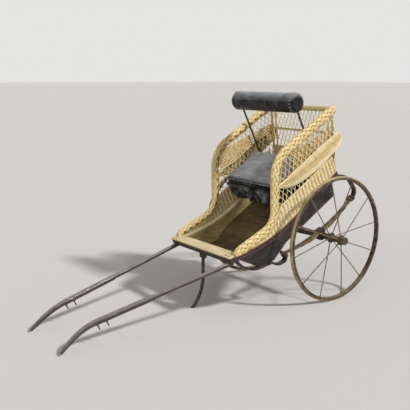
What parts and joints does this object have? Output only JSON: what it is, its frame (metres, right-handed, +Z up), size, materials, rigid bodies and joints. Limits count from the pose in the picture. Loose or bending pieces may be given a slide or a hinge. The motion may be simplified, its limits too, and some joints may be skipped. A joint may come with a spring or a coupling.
{
  "type": "two-wheeled wicker driving cart",
  "caption": "Small sprung wicker cart for a goat or pony: woven tub with braided rim, black seat and stuffed back roll, wire wheels, bent shafts and a folding prop leg, parked nose down.",
  "frame": {"origin": "on the floor, under the middle of the cart's bounding box as it stands parked", "axes": "+X forward to the shafts, +Y to the cart's left, +Z up"},
  "size_m": [1.6939, 0.758, 1.0164],
  "materials": {
    "wicker": "woven straw-coloured willow and cane, slightly glossy, darker in the braids",
    "coach_paint": "worn black coach paint with fine dark red lines",
    "cream_wood": "scrubbed pale wood",
    "plank": "old bare boards",
    "shaft_wood": "worn dark stained wood, grey on top",
    "black_leather": "creased and dusty black oilcloth leather",
    "dark_iron": "black forged iron with some rust",
    "worn_iron": "worn paint over rusty iron",
    "tyre": "dusty aged solid rubber"
  },
  "bodies": {
    "cart_body": {"sill_left": "coach_paint", "sill_right": "coach_paint", "well_side_left": "coach_paint", "well_side_right": "coach_paint", "side_panel_left": "coach_paint", "side_panel_right": "coach_paint", "body_rear_board": "coach_paint", "rear_cross_bar": "coach_paint", "well_front": "plank", "well_floor": "plank", "well_riser": "plank", "body_floor": "plank", "seat_board": "plank", "front_board": "cream_wood", "front_cross_bar": "dark_iron", "wicker_side_left": "wicker", "wicker_side_right": "wicker", "wicker_back": "wicker", "border_left": "wicker", "border_right": "wicker", "back_rail": "wicker", "roll_arm_left": "wicker", "roll_arm_right": "wicker", "seat_cushion": "black_leather", "seat_valance": "black_leather", "backrest_roll": "black_leather", "backrest_iron_left": "dark_iron", "backrest_iron_right": "dark_iron", "axle": "dark_iron", "spring_left": "worn_iron", "spring_right": "worn_iron", "spring_clips": "dark_iron", "front_iron_left": "dark_iron", "front_iron_right": "dark_iron", "rear_iron_left": "dark_iron", "rear_iron_right": "dark_iron", "shaft_left": "shaft_wood", "shaft_right": "shaft_wood", "leg_bracket": "dark_iron"},
    "prop_leg": {"prop_leg": "dark_iron"},
    "wheel_left": {"tyre_left": "tyre", "rim_left": "worn_iron", "spokes_left": "worn_iron", "hub_left": "worn_iron"},
    "wheel_right": {"tyre_right": "tyre", "rim_right": "worn_iron", "spokes_right": "worn_iron", "hub_right": "worn_iron"}
  },
  "joints": [
    {"name": "wheel_left_spin", "type": "hinge", "parent": "cart_body", "child": "wheel_left", "pos_m": [-0.53698, 0.322, 0.31], "axis": [0, 1, 0], "continuous": true},
    {"name": "wheel_right_spin", "type": "hinge", "parent": "cart_body", "child": "wheel_right", "pos_m": [-0.53698, -0.322, 0.31], "axis": [0, 1, 0], "continuous": true},
    {"name": "leg_fold", "type": "hinge", "parent": "cart_body", "child": "prop_leg", "pos_m": [0.03454, 0, 0.24704], "axis": [0, 1, 0], "range_deg": [0, 65]}
  ]
}
